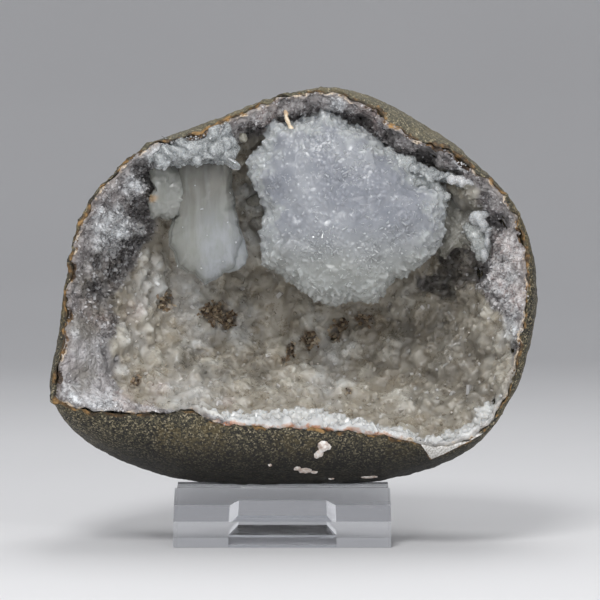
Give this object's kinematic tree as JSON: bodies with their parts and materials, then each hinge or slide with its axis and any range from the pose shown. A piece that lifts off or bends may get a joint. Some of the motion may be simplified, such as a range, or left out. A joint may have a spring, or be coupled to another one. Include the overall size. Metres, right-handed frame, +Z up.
{
  "type": "goosecreekite specimen",
  "caption": "Half of a hollow basalt nodule lined with druse, holding a milky goosecreekite cluster and a sheaf-shaped crystal, resting in a clear acrylic cradle.",
  "frame": {"origin": "middle of the bounding box's underside, on the surface that the cradle stands on", "axes": "+X to the right as seen from the open face, +Y away from the open face towards the nodule's back, +Z up"},
  "size_m": [0.1798, 0.0874, 0.1679],
  "materials": {
    "acrylic": "polished clear acrylic",
    "basalt": "matte, fine speckled grain",
    "druse": "satin, crystalline",
    "milky_crystal": "gloss, milky and translucent",
    "translucent_crystal": "gloss, translucent",
    "sugary_crust": "satin, sugary crust"
  },
  "bodies": {
    "root": {"acrylic_cradle": "acrylic", "basalt_shell": "basalt", "druse_lining": "druse", "goosecreekite_cluster": "milky_crystal", "ceiling_crust": "sugary_crust", "sheaf_crystal": "translucent_crystal", "side_blade": "translucent_crystal", "small_prism": "translucent_crystal", "north_knobs": "sugary_crust", "east_knobs": "sugary_crust"}
  },
  "joints": []
}
